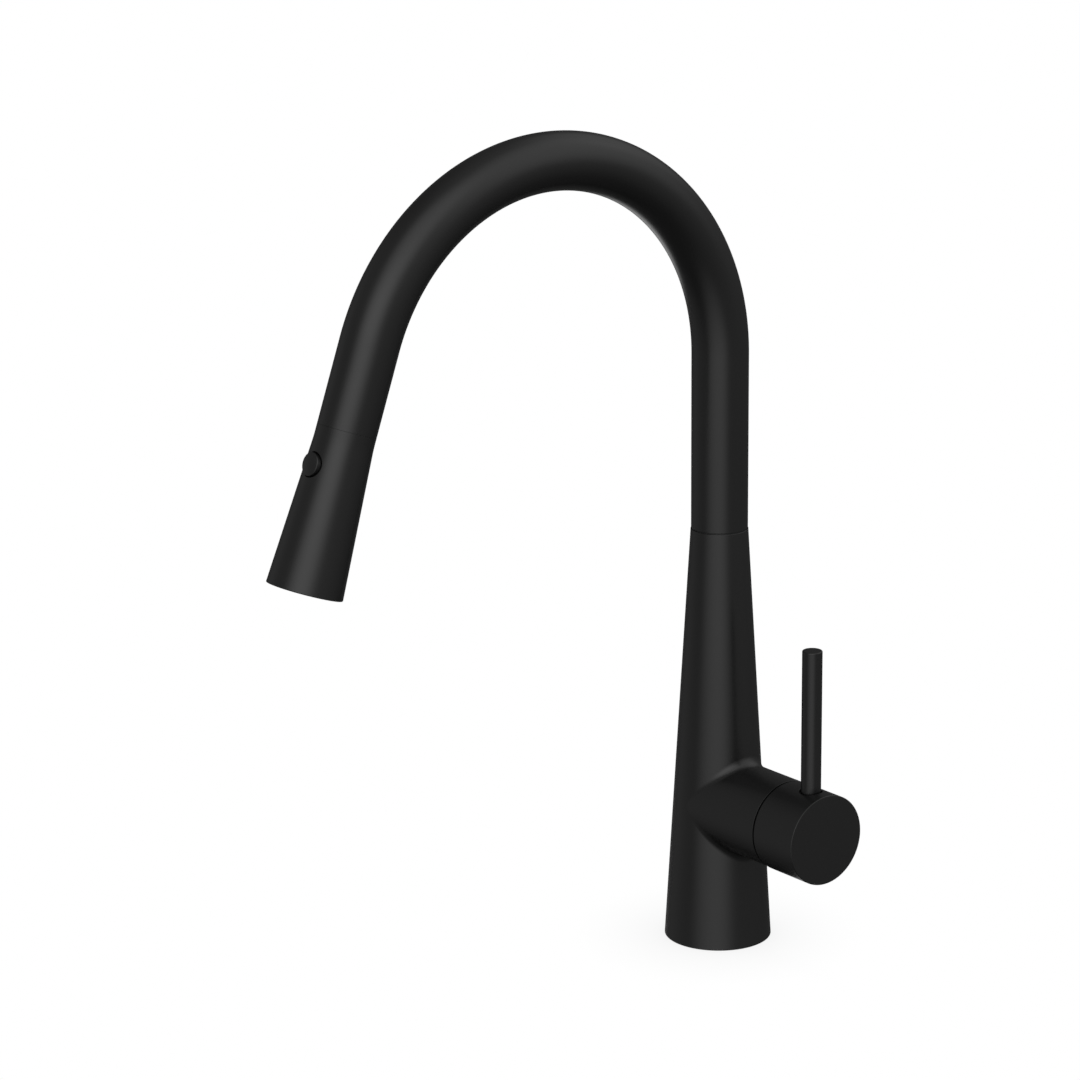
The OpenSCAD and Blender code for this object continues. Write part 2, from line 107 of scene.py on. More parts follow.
# ---- mesh tools --------------------------------------------------------------------
class Skin:
    """Vertices with exact normals, and the faces between them."""

    def __init__(self):
        self.co, self.no, self.faces = [], [], []

    def add(self, co, no):
        start = sum(len(c) for c in self.co)
        self.co.append(np.asarray(co, float).reshape(-1, 3))
        self.no.append(np.asarray(no, float).reshape(-1, 3))
        return start

    def grid(self, co, no, flip=False):
        """co and no are (rows, columns, 3); the last column meets the first."""
        rows, cols = co.shape[:2]
        start = self.add(co, no)
        for i in range(rows - 1):
            same = np.linalg.norm(co[i] - co[i + 1], axis=1)
            if same.max() < 1e-6:
                continue
            tip_a = np.linalg.norm(co[i] - co[i, :1], axis=1).max() < 1e-6
            tip_b = np.linalg.norm(co[i + 1] - co[i + 1, :1], axis=1).max() < 1e-6
            for j in range(cols):
                k = (j + 1) % cols
                a, b = start + i * cols + j, start + i * cols + k
                c, d = start + (i + 1) * cols + k, start + (i + 1) * cols + j
                face = [a, c, d] if tip_a else [a, b, d] if tip_b else [a, b, c, d]
                self.faces.append(face[::-1] if flip else face)

    def make(self, name, body, slot, material, *nodes):
        co = np.concatenate(self.co)
        no = np.concatenate(self.no)
        no /= np.maximum(np.linalg.norm(no, axis=1, keepdims=True), 1e-9)
        mesh = bpy.data.meshes.new(name)
        mesh.from_pydata((co * MM).tolist(), [], self.faces)
        mesh.polygons.foreach_set("use_smooth", [True] * len(mesh.polygons))
        mesh.normals_split_custom_set_from_vertices(no.tolist())
        mesh.materials.append(material)
        obj = bpy.data.objects.new(name, mesh)
        bpy.context.scene.collection.objects.link(obj)
        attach(obj, body)
        if nodes:
            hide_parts(*nodes)
        return obj


def rounded(points, radii, steps=6):
    """Rows (r, z, nr, nz) along a profile whose corners are rounded; the outside is on its right."""
    p = [np.array(q, float) for q in points]
    d = [(b - a) / np.linalg.norm(b - a) for a, b in zip(p, p[1:])]
    n = [np.array([v[1], -v[0]]) for v in d]
    rows = [(*p[0], *n[0])]
    for i in range(1, len(p) - 1):
        turn = math.atan2(
            d[i - 1][0] * d[i][1] - d[i - 1][1] * d[i][0], d[i - 1] @ d[i]
        )
        radius = radii[i] if isinstance(radii, (list, tuple)) else radii
        if radius <= 0 or abs(turn) < 1e-6:
            rows += [(*p[i], *n[i - 1]), (*p[i], *n[i])]
            continue
        side = math.copysign(1, turn)
        start = p[i] - d[i - 1] * radius * math.tan(abs(turn) / 2)
        centre = start - side * radius * n[i - 1]
        for k in range(steps + 1):
            c, s = math.cos(turn * k / steps), math.sin(turn * k / steps)
            m = np.array([c * n[i - 1][0] - s * n[i - 1][1], s * n[i - 1][0] + c * n[i - 1][1]])
            rows.append((*(centre + side * radius * m), *m))
    rows.append((*p[-1], *n[-1]))
    return rows


def split(rows, longest):
    """The same rows, with more of them where two lie further apart than longest."""
    out = [rows[0]]
    for a, b in zip(rows, rows[1:]):
        parts = max(1, math.ceil(math.hypot(b[0] - a[0], b[1] - a[1]) / longest))
        out += [tuple(np.array(a) + (np.array(b) - np.array(a)) * k / parts) for k in range(1, parts + 1)]
    return out


def turned(skin, rows, place, sides=128):
    """Adds the surface that rows sweep round the local z axis of place."""
    a = np.arange(sides) * TURN / sides
    rows = np.array(rows)
    ca, sa = np.cos(a), np.sin(a)
    co = np.stack([rows[:, :1] * ca, rows[:, :1] * sa, np.repeat(rows[:, 1:2], sides, 1)], 2)
    no = np.stack([rows[:, 2:3] * ca, rows[:, 2:3] * sa, np.repeat(rows[:, 3:4], sides, 1)], 2)
    skin.grid(*placed(co, no, place))


def placed(co, no, place):
    m = np.array(place)
    return co @ m[:3, :3].T + m[:3, 3], no @ m[:3, :3].T


def inside(loop, x, y):
    """Whether points lie inside a closed loop, by counting crossings."""
    ax, ay = loop[:, 0], loop[:, 1]
    bx, by = np.roll(ax, -1), np.roll(ay, -1)
    crosses = (ay[None] > y[:, None]) != (by[None] > y[:, None])
    with np.errstate(divide="ignore", invalid="ignore"):
        at = ax + (y[:, None] - ay) * (bx - ax) / (by - ay)
    return (crosses & (x[:, None] < at)).sum(1) % 2 == 1


def triangulated(points, loops, outline):
    """Triangles over points, loops and outline, all in one plane, without the inside of the loops."""
    pts = [tuple(q) for q in outline]
    edges = [(i, (i + 1) % len(outline)) for i in range(len(outline))]
    for loop in loops:
        start = len(pts)
        pts += [tuple(q) for q in loop]
        edges += [(start + i, start + (i + 1) % len(loop)) for i in range(len(loop))]
    pts += [tuple(q) for q in points]
    verts, _, faces, *_ = delaunay_2d_cdt([Vector(q) for q in pts], edges, [], 0, 1e-7)
    v = np.array([tuple(q) for q in verts])
    f = np.array([list(t) for t in faces])
    mid = v[f].mean(1)
    keep = np.ones(len(f), bool)
    for loop in loops:
        keep &= ~inside(np.array(loop), mid[:, 0], mid[:, 1])
    keep &= inside(np.array(outline), mid[:, 0], mid[:, 1])
    return v, f[keep]


def straight_skin(skin, r0, z0, r1, z1, loops, place, first=-math.pi, sides=192, rows=24):
    """A cone or cylinder between two rings, with holes. Each loop is a list of (angle, z) on the surface."""
    mean = (r0 + r1) / 2
    ang = first + np.arange(sides + 1) * TURN / sides
    zs = np.linspace(z0, z1, rows + 1)
    flat = [np.stack([np.array(q)[:, 0] * mean, np.array(q)[:, 1]], 1) for q in loops]
    step = TURN * mean / sides
    gx, gz = np.meshgrid(ang[1:-1] * mean, zs[1:-1])
    g = np.stack([gx.ravel(), gz.ravel()], 1)
    keep = np.ones(len(g), bool)
    for loop in flat:
        keep &= ~inside(loop, g[:, 0], g[:, 1])
        gap = np.linalg.norm(g[:, None] - loop[None], axis=2).min(1)
        keep &= gap > step * 0.6
    edge = [(a * mean, z0) for a in ang] + [(ang[-1] * mean, z) for z in zs[1:]]
    edge += [(a * mean, z1) for a in ang[::-1][1:]] + [(ang[0] * mean, z) for z in zs[::-1][1:-1]]
    v, f = triangulated(g[keep], flat, edge)
    a, z = v[:, 0] / mean, v[:, 1]
    r = r0 + (r1 - r0) * (z - z0) / (z1 - z0)
    lean = (r0 - r1) / (z1 - z0)
    co = np.stack([r * np.cos(a), r * np.sin(a), z], 1)
    no = np.stack([np.cos(a), np.sin(a), np.full(len(a), lean)], 1)
    start = skin.add(*placed(co, no, place))
    skin.faces += (f + start).tolist()


def rim(skin, at, outward, to_middle, along, lip, depth):
    """The rounded edge and the wall of a hole: at is its loop on the surface."""
    rows, normals = [], []
    for k in range(6):
        t = math.pi / 2 * k / 5
        n = outward * math.cos(t) + to_middle * math.sin(t)
        rows.append(at - lip * outward + lip * n)
        normals.append(n)
    rows.append(rows[-1] + along * depth)
    normals.append(normals[-1])
    skin.grid(np.array(rows), np.array(normals))


def cross_hole(r0, z0, r1, z1, angle, z, radius, count=64):
    """Loop (angle, z) where a round cross hole meets a cone, and the vectors that rim needs."""
    t = np.arange(count) * TURN / count
    across, up = radius * np.cos(t), z + radius * np.sin(t)
    r = r0 + (r1 - r0) * (up - z0) / (z1 - z0)
    a = angle + np.arcsin(across / r)
    at = np.stack([r * np.cos(a), r * np.sin(a), up], 1)
    out = np.stack([np.cos(a), np.sin(a), np.full(count, (r0 - r1) / (z1 - z0))], 1)
    out /= np.linalg.norm(out, axis=1, keepdims=True)
    side = np.array([-math.sin(angle), math.cos(angle), 0])
    middle = -(np.cos(t)[:, None] * side + np.sin(t)[:, None] * np.array([0, 0, 1.0]))
    along = -np.array([math.cos(angle), math.sin(angle), 0])
    return list(zip(a, up)), at, out, middle, along


def gooseneck(s):
    """Centre, forward and outer direction of the gooseneck, s along its centreline from the foot."""
    if s <= BEND_Z:
        return (0, 0, s), (0, 0, 1), (0, 1, 0)
    a = min((s - BEND_Z) / BEND_R, BEND)
    rest = max(0.0, s - BEND_Z - BEND * BEND_R)
    fwd, out = (0, -math.sin(a), math.cos(a)), (0, math.cos(a), math.sin(a))
    c = np.array([0, -BEND_R, BEND_Z]) + BEND_R * np.array(out) + rest * np.array(fwd)
    return tuple(c), fwd, out


def swept(skin, rows, sides=96):
    """Adds the surface that rows (r, s, nr, ns) sweep along the gooseneck."""
    a = np.arange(sides) * TURN / sides
    co, no = [], []
    for r, s, nr, ns in rows:
        c, fwd, out = (np.array(q, float) for q in gooseneck(s))
        ring = np.cos(a)[:, None] * np.array([1.0, 0, 0]) + np.sin(a)[:, None] * out
        co.append(c + r * ring)
        no.append(nr * ring + ns * fwd)
    skin.grid(np.array(co), np.array(no))


# ---- materials ---------------------------------------------------------------------
def material(name, color, rough, metallic=0.0, specular=0.5):
    m = bpy.data.materials.new(name)
    m.use_nodes = True
    m.diffuse_color = (*color, 1)
    shader = m.node_tree.nodes["Principled BSDF"]
    shader.inputs["Base Color"].default_value = (*color, 1)
    shader.inputs["Roughness"].default_value = rough
    shader.inputs["Metallic"].default_value = metallic
    shader.inputs["Specular IOR Level"].default_value = specular
    return m, m.node_tree.nodes, m.node_tree.links, shader


def noise(nodes, links, scale, detail=2.0, stretch=None):
    """Noise in the object's own space; scale is in cycles per metre."""
    space = nodes.new("ShaderNodeTexCoord")
    tex = nodes.new("ShaderNodeTexNoise")
    tex.inputs["Scale"].default_value = scale
    tex.inputs["Detail"].default_value = detail
    source = space.outputs["Object"]
    if stretch:
        mapping = nodes.new("ShaderNodeMapping")
        mapping.inputs["Scale"].default_value = stretch
        links.new(source, mapping.inputs["Vector"])
        source = mapping.outputs["Vector"]
    links.new(source, tex.inputs["Vector"])
    return tex.outputs["Fac"]


def spread(nodes, links, value, low, high, target):
    """Feeds value, about 0.3 to 0.7, into target as low to high."""
    fit = nodes.new("ShaderNodeMapRange")
    fit.inputs["From Min"].default_value = 0.3
    fit.inputs["From Max"].default_value = 0.7
    fit.inputs["To Min"].default_value = low
    fit.inputs["To Max"].default_value = high
    links.new(value, fit.inputs["Value"])
    links.new(fit.outputs["Result"], target)


def tint(nodes, links, value, dark, light, target):
    """Feeds a colour between dark and light into target."""
    ramp = nodes.new("ShaderNodeValToRGB")
    ramp.color_ramp.elements[0].position = 0.35
    ramp.color_ramp.elements[0].color = (*dark, 1)
    ramp.color_ramp.elements[1].position = 0.65
    ramp.color_ramp.elements[1].color = (*light, 1)
    links.new(value, ramp.inputs["Fac"])
    links.new(ramp.outputs["Color"], target)


def bump(nodes, links, shader, value, height, before=None):
    """Relief of value, height in metres."""
    b = nodes.new("ShaderNodeBump")
    b.inputs["Strength"].default_value = 1.0
    b.inputs["Distance"].default_value = height
    links.new(value, b.inputs["Height"])
    if before:
        links.new(before, b.inputs["Normal"])
    links.new(b.outputs["Normal"], shader.inputs["Normal"])
    return b.outputs["Normal"]


def coating():
    """Satin black paint: fine powder grain, faint orange peel, slight sheen changes."""
    m, nodes, links, shader = material("satin_black_coating", (0.005, 0.005, 0.005), 0.3)
    grain = noise(nodes, links, 5200, 3)
    peel = noise(nodes, links, 420, 2)
    cloud = noise(nodes, links, 26, 3)
    tint(nodes, links, grain, (0.0045, 0.0045, 0.0045), (0.0056, 0.0056, 0.0056), shader.inputs["Base Color"])
    spread(nodes, links, cloud, 0.28, 0.32, shader.inputs["Roughness"])
    first = bump(nodes, links, shader, peel, 2.0e-6)
    bump(nodes, links, shader, grain, 1.2e-6, first)
    return m


def plastic(name, color, rough, grain_height=3e-6):
    """Moulded plastic with a fine spark-eroded grain."""
    m, nodes, links, shader = material(name, color, rough)
    grain = noise(nodes, links, 2600, 4)
    cloud = noise(nodes, links, 60, 2)
    light = tuple(min(1, c * 1.12 + 0.001) for c in color)
    tint(nodes, links, cloud, color, light, shader.inputs["Base Color"])
    spread(nodes, links, grain, rough - 0.05, rough + 0.06, shader.inputs["Roughness"])
    bump(nodes, links, shader, grain, grain_height)
    return m


def rubber(name, color):
    """Matt moulded rubber with a dusty bloom."""
    m, nodes, links, shader = material(name, color, 0.75, specular=0.35)
    grain = noise(nodes, links, 1800, 5)
    light = tuple(c * 1.6 + 0.002 for c in color)
    tint(nodes, links, grain, color, light, shader.inputs["Base Color"])
    spread(nodes, links, noise(nodes, links, 150, 3), 0.66, 0.85, shader.inputs["Roughness"])
    bump(nodes, links, shader, grain, 6e-6)
    return m


def metal(name, color, rough, stretch):
    """Turned metal: fine tool marks along one direction and slight tarnish."""
    m, nodes, links, shader = material(name, color, rough, metallic=1.0)
    marks = noise(nodes, links, 900, 4, stretch)
    cloud = noise(nodes, links, 90, 3)
    dark = tuple(c * 0.8 for c in color)
    tint(nodes, links, cloud, dark, color, shader.inputs["Base Color"])
    spread(nodes, links, marks, rough - 0.07, rough + 0.1, shader.inputs["Roughness"])
    bump(nodes, links, shader, marks, 4e-6)
    return m


def ceramic(name):
    """Lapped alumina, faintly speckled."""
    m, nodes, links, shader = material(name, (0.86, 0.85, 0.8), 0.25)
    speck = noise(nodes, links, 3000, 2)
    tint(nodes, links, speck, (0.8, 0.79, 0.74), (0.88, 0.87, 0.83), shader.inputs["Base Color"])
    spread(nodes, links, speck, 0.2, 0.32, shader.inputs["Roughness"])
    bump(nodes, links, shader, speck, 1e-6)
    return m


def braid():
    """Woven nylon over the hose: two crossing sets of yarns."""
    m, nodes, links, shader = material("hose_braid", (0.03, 0.03, 0.032), 0.6)
    uv = nodes.new("ShaderNodeUVMap")
    sets = []
    for slope in (1, -1):
        wave = nodes.new("ShaderNodeTexWave")
        wave.wave_type = "BANDS"
        wave.bands_direction = "X"
        wave.inputs["Scale"].default_value = 3.2
        mapping = nodes.new("ShaderNodeMapping")
        mapping.inputs["Rotation"].default_value = (0, 0, slope * math.radians(45))
        links.new(uv.outputs["UV"], mapping.inputs["Vector"])
        links.new(mapping.outputs["Vector"], wave.inputs["Vector"])
        sets.append(wave.outputs["Fac"])
    both = nodes.new("ShaderNodeMath")
    both.operation = "MAXIMUM"
    links.new(sets[0], both.inputs[0])
    links.new(sets[1], both.inputs[1])
    dark, light = (0.012, 0.012, 0.013), (0.05, 0.05, 0.053)
    tint(nodes, links, both.outputs[0], dark, light, shader.inputs["Base Color"])
    spread(nodes, links, both.outputs[0], 0.72, 0.48, shader.inputs["Roughness"])
    bump(nodes, links, shader, both.outputs[0], 2.5e-4)
    return m


BLACK = coating()
LOOKS = {
    "black_finish": BLACK,
    "rubber": rubber("black_rubber", (0.012, 0.012, 0.012)),
    "nozzle_rubber": rubber("nozzle_silicone", (0.02, 0.02, 0.021)),
    "dark_plastic": plastic("dark_plastic", (0.016, 0.016, 0.017), 0.45),
    "light_plastic": plastic("light_plastic", (0.72, 0.72, 0.68), 0.4),
    "ceramic": ceramic("lapped_ceramic"),
    "brass": metal("turned_brass", (0.72, 0.52, 0.24), 0.3, (1, 1, 40)),
    "steel": metal("turned_steel", (0.56, 0.56, 0.56), 0.3, (1, 1, 30)),
    "magnet": metal("nickel_plate", (0.6, 0.59, 0.56), 0.18, (1, 1, 1)),
    "hose_braid": braid(),
}
for part in frame["record"]["subparts"]:
    mesh = frame["nodes"][part["node"]].data
    mesh.materials.clear()
    mesh.materials.append(LOOKS[part["material_slot"]])


# ---- body ----------------------------------------------------------------------------
def body_radius(z):
    return BASE_R + (NECK_R - BASE_R) * z / BODY_H


def fillet_band(sides=256):
    """The rolling ball between body and housing: its line on the body, on the housing, and its centre."""
    psi = np.arange(sides) * TURN / sides
    lean = (BASE_R - NECK_R) / BODY_H
    grow = math.hypot(1, lean)
    y, dz = (HOUSING_R + FILLET) * np.sin(psi), (HOUSING_R + FILLET) * np.cos(psi)
    reach = body_radius(AXIS_Z + dz) + FILLET * grow
    centre = np.stack([np.sqrt(reach**2 - y**2), y, AXIS_Z + dz], 1)
    radial = np.stack([centre[:, 0] / reach, y / reach, np.full(sides, lean)], 1) / grow
    spoke = np.stack([0 * psi, np.sin(psi), np.cos(psi)], 1)
    return centre, radial, spoke


def make_body():
    skin = Skin()
    centre, radial, spoke = fillet_band()
    foot = centre - FILLET * radial
    loop = list(zip(np.arctan2(foot[:, 1], foot[:, 0]), foot[:, 2]))
    low, top = 0.5, BODY_H - 0.3
    cone = (body_radius(low), low, body_radius(top), top)
    # hole of the swivel lock screw, at the back
    screw_loop, at, out, middle, along = cross_hole(*cone, math.pi / 2, LOCK_Z, LOCK_R)
    rim(skin, at, out, middle, along, 0.2, 4.5)
    straight_skin(skin, *cone, [loop, screw_loop], UPRIGHT, sides=224, rows=40)
    # fillet: from the body's surface round to the housing's
    bend = np.arccos(np.clip((radial * spoke).sum(1), -1, 1))
    rows, normals = [], []
    for k in range(13):
        w = k / 12
        n = (np.sin((1 - w) * bend)[:, None] * radial + np.sin(w * bend)[:, None] * spoke)
        n /= np.sin(bend)[:, None]
        rows.append(centre - FILLET * n)
        normals.append(n)
    # housing, its rounded edge, its end face and the counterbore
    edge = 0.3
    for k in range(1, 9):
        p = rows[12] * (1 - k / 8)
        p += (k / 8) * np.concatenate([np.full((len(p), 1), HOUSING_X - edge), rows[12][:, 1:]], 1)
        rows.append(p)
        normals.append(spoke)
    skin.grid(np.array(rows), np.array(normals), flip=True)
    ending = [(HOUSING_R, HOUSING_X - edge), (HOUSING_R, HOUSING_X), (GUIDE_R, HOUSING_X), (GUIDE_R, GUIDE_X)]
    turned(skin, rounded(ending, edge / 2), AXLE, 256)
    # lip at the neck
    lip = [(body_radius(top), top), (NECK_R, BODY_H), (SWIVEL_BORE, BODY_H), (SWIVEL_BORE, BODY_H - 12)]
    turned(skin, rounded(lip, 0.3), UPRIGHT, 224)
    # foot: rounded edge, then the flat underside with its ports
    edge_rows = rounded([(SEAL_OUT, 0), (BASE_R, 0), (body_radius(low), low)], 0.4)
    turned(skin, edge_rows[1:], UPRIGHT, 224)
    underside(skin, edge_rows[1][0])
    return skin.make("body_casting", "base", "black_finish", BLACK, "body")


def circle(x, y, radius, count):
    """Points round a circle in the plane."""
    t = np.arange(count) * TURN / count
    return [(x + radius * c, y + radius * s) for c, s in zip(np.cos(t), np.sin(t))]


def underside(skin, outer):
    """The flat of the foot, with the stud holes, the ports, the hose passage and the seal's groove."""
    holes = [(0, 0, HOSE_BORE, 60.0), (MIXED_X, 0, PORT_R, PORT_DEPTH)]
    for side in (-1, 1):
        holes += [(0, side * STUD_Y, STUD_R, PORT_DEPTH), (PORT_XY, side * PORT_XY, PORT_R, PORT_DEPTH)]
    chamfer = 0.4
    loops = [circle(x, y, r + chamfer, 64)[::-1] for x, y, r, _ in holes]
    v, f = triangulated([], loops, circle(0, 0, SEAL_IN, 224))
    flat = np.concatenate([v, np.zeros((len(v), 1))], 1)
    start = skin.add(flat, np.tile([0, 0, -1.0], (len(v), 1)))
    skin.faces += (f[:, ::-1] + start).tolist()
    groove = rounded([(SEAL_IN, 0), (SEAL_IN, SEAL_T), (SEAL_OUT, SEAL_T), (SEAL_OUT, 0), (outer, 0)], 0)
    turned(skin, groove, UPRIGHT, 224)
    for x, y, r, depth in holes:
        well = rounded([(0, depth), (r, depth), (r, chamfer), (r + chamfer, 0)], 0)
        turned(skin, well, Matrix.Translation((x, y, 0)), 64)


# ---- lever -----------------------------------------------------------------------------
def make_cap():
    skin = Skin()
    start, stop = CAP_X + 0.35, CAP_END - 0.6
    cone = (CAP_R, start, CAP_R, stop)
    holes = []
    recess = PIN_R + RECESS
    for angle, x, radius, lip, depth in ((0, PIN_X, recess + 0.2, 0.2, 3), (math.pi, SET_X, SET_R, 0.25, 6)):
        loop, at, out, middle, along = cross_hole(*cone, angle, x, radius)
        holes.append(loop)
        at, out = placed(at, out, AXLE)
        m = np.array(AXLE)[:3, :3]
        rim(skin, at, out, middle @ m.T, m @ along, lip, depth)
    straight_skin(skin, *cone, holes, AXLE, first=-math.pi / 2, sides=192, rows=22)
    front = [(BOSS_R, SKIRT_X), (GUIDE_R, SKIRT_X), (GUIDE_R, CAP_X), (CAP_R, CAP_X), (CAP_R, start)]
    turned(skin, rounded(front, [0, 0, 0.3, 0.15, 0]), AXLE, 192)
    floor = [(recess, RECESS_Z, 0, 1), (PIN_R - 0.5, RECESS_Z, 0, 1)]
    turned(skin, floor, Matrix.Translation((PIN_X, 0, AXIS_Z)), 64)
    face = rounded([(CAP_R, stop), (CAP_R, CAP_END), (0.0, CAP_END)], 0.35, 8)
    turned(skin, split(face, 4), AXLE, 192)
    return skin.make("lever_cap", "lever", "black_finish", BLACK, "handle_cap")


def make_pin():
    skin = Skin()
    foot = AXIS_Z + RECESS_Z - 4  # out of sight in the cap
    rows = rounded([(PIN_R, foot), (PIN_R, PIN_TOP), (0.0, PIN_TOP)], 0.55, 8)
    turned(skin, rows, Matrix.Translation((PIN_X, 0, 0)), 96)
    return skin.make("lever_rod", "lever", "black_finish", BLACK, "lever_pin")


# ---- spout --------------------------------------------------------------------------------
def make_spout():
    skin = Skin()
    start, stop = BODY_H + WASHER, BEND_Z + BEND * BEND_R + SEAM - SEAM_GAP / 2
    inside_at = start + 20  # the wall's profile is closed on its inner side
    profile = [(BORE_R, inside_at), (BORE_R, start), (TUBE_R, start)]
    profile += [(TUBE_R, stop), (BORE_R, stop), (BORE_R, inside_at)]
    rows = rounded(profile, [0, 0.1, 0.35, 0.05, 0.1, 0])
    swept(skin, split(rows, 2.2), 128)
    return skin.make("gooseneck", "spout", "black_finish", BLACK, "spout_tube")


def hose_run(name, stations):
    """A stretch of the braided hose, with its weave laid out along it."""
    skin, sides = Skin(), 32
    swept(skin, [(HOSE_R, at, 1, 0) for at in stations], sides)
    obj = skin.make(name, "spout", "hose_braid", LOOKS["hose_braid"], "spray_hose")
    uv = obj.data.uv_layers.new(name="braid")
    for face in obj.data.polygons:
        places = [divmod(v, sides) for v in face.vertices]
        closing = any(side == sides - 1 for _, side in places)
        for corner, (ring, side) in zip(face.loop_indices, places):
            lap = side + sides if side == 0 and closing else side
            uv.data[corner].uv = (lap / 2.0, stations[ring] / 2.4)
    return obj


def make_hose():
    """The hose in two runs: the long one keeps to the spout, the short upper one is left out of every rigid
    body.
    """
    end = BEND_Z + BEND * BEND_R
    loose = end - HOSE_LOOSE
    hose_run("braided_hose", np.append(np.arange(HOSE_FOOT, loose, 3), loose))
    obj = hose_run("braided_hose_end", np.linspace(loose, end + HOSE_END, 140))
    world = obj.matrix_world.copy()
    obj.parent = None
    obj.matrix_world = world
    del obj["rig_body"]
    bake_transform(obj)


# ---- spray head ----------------------------------------------------------------------------
def shell_radius(s):
    return TUBE_R + max(0.0, s - TAPER_AT) * (OUTLET_R - TUBE_R) / (OUT - TAPER_AT)


def make_shell():
    skin = Skin()
    low, high = 50.0, OUT - 0.6
    cone = (shell_radius(low), low, shell_radius(high), high)
    loop, at, out, middle, along = cross_hole(*cone, math.pi / 2, BUTTON_AT, BUTTON_R + 0.7)
    at, out = placed(at, out, HEAD)
    m = np.array(HEAD)[:3, :3]
    rim(skin, at, out, middle @ m.T, m @ along, 0.3, 1.6)
    straight_skin(skin, *cone, [loop], HEAD, first=-math.pi, sides=192, rows=60)
    upper = rounded([(11.2, SEAM), (TUBE_R, SEAM), (TUBE_R, TAPER_AT), (cone[0], low)], [0, 0.05, 90, 0], 8)
    turned(skin, upper, HEAD, 192)
    inner = OUTLET_R - SHELL
    mouth = [(cone[2], high), (OUTLET_R, OUT), (inner, OUT), (inner - 0.5, OUT - 8)]
    turned(skin, rounded(mouth, [0, 0.45, 0.3, 0], 8), HEAD, 192)
    return skin.make("spray_head_shell", "head", "black_finish", BLACK, "head_shell")


def make_button():
    skin = Skin()
    place = HEAD @ Matrix.Translation((0, 0, BUTTON_AT)) @ Matrix.Rotation(-math.pi / 2, 4, "X")
    soft = 0.45
    top = FLANGE_Y + 1
    face = [(r, FACE_Y - r * r / (2 * DOME_R), r / DOME_R, 1.0) for r in np.linspace(BUTTON_R - soft, 0, 12)]
    edge = face[0][1]
    rows = rounded(
        [(BUTTON_R + 1.2, FLANGE_Y), (BUTTON_R + 1.2, top), (BUTTON_R, top), (BUTTON_R, edge), (4.0, edge)],
        [0, 0.2, 0, soft, 0],
        8,
    )[:-1]
    rows += face
    turned(skin, rows, place, 96)
    return skin.make("button_cap", "button", "dark_plastic", BLACK, "spray_button")


def make_spring():
    """The button's return spring, a coil of steel wire behind the button."""
    skin = Skin()
    place = HEAD @ Matrix.Translation((0, 0, BUTTON_AT)) @ Matrix.Rotation(-math.pi / 2, 4, "X")
    coils, sides = 4, 10
    around = np.arange(sides) * TURN / sides
    co, no = [], []
    for t in np.linspace(0, 1, 24 * coils + 1):
        a = t * coils * TURN
        radial, up = np.array([math.cos(a), math.sin(a), 0]), np.array([0, 0, 1.0])
        ring = np.cos(around)[:, None] * up + np.sin(around)[:, None] * radial
        co.append(SPRING_R * radial + (SPRING_Y + WIRE_R + (SPRING_L - 2 * WIRE_R) * t) * up + WIRE_R * ring)
        no.append(ring)
    skin.grid(*placed(np.array(co), np.array(no), place))
    obj = skin.make("return_spring", "head", "steel", LOOKS["steel"], "button_spring")
    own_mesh(obj)


def make_nozzles():
    """Soft spray nozzles: a pad with a ring of tapered tips that stand through the plate."""
    skin = Skin()
    pad = [(PAD_IN, PAD_TOP), (PAD_OUT, PAD_TOP), (PAD_OUT, PAD_FACE), (PAD_IN, PAD_FACE), (PAD_IN, PAD_TOP)]
    turned(skin, rounded(pad, 0.2), HEAD, 96)
    for k in range(NOZZLES):
        a = TURN * k / NOZZLES
        place = HEAD @ Matrix.Translation((NOZZLE_RING * math.cos(a), NOZZLE_RING * math.sin(a), 0))
        tip = [(NOZZLE_R, PAD_FACE - 1), (NOZZLE_R, OUT - 1.1), (NOZZLE_R - 0.3, OUT - 0.2)]
        tip += [(NOZZLE_WAY, OUT - 0.2), (NOZZLE_WAY, OUT - 4.5), (0.0, OUT - 4.5)]
        turned(skin, rounded(tip, [0, 0.3, 0.15, 0.1, 0, 0], 3), place, 24)
    return skin.make("nozzle_tips", "head", "nozzle_rubber", LOOKS["nozzle_rubber"], "nozzle_pad")


make_body()
make_cap()
make_pin()
make_spout()
make_hose()
make_shell()
make_button()
make_spring()
make_nozzles()


# ---- studio ------------------------------------------------------------------------------------
# the camera: angles in degrees, where it aims, how far off it stands, and its lens
VIEW_AZIMUTH, VIEW_ELEVATION, VIEW_ROLL = 52.2, 15.95, -0.45
VIEW_HEIGHT, VIEW_SIDE, VIEW_DISTANCE, LENS = 206.5, 88.25, 2054, 139.2
ROOM = 0.09
# name, azimuth, elevation and half width in degrees, brightness
STUDIO = (
    ("key", 44, 42, 48, 1.0),
    ("low_front", 38, 0, 55, 0.95),
    ("side", 135, 42, 50, 0.65),
    ("rim", -165, 35, 30, 0.35),
    ("overhead", 100, 45, 110, 0.4),
    ("left", -40, 5, 60, 0.25),
    ("floor_bounce", -108, -36, 18, 1.4),
)


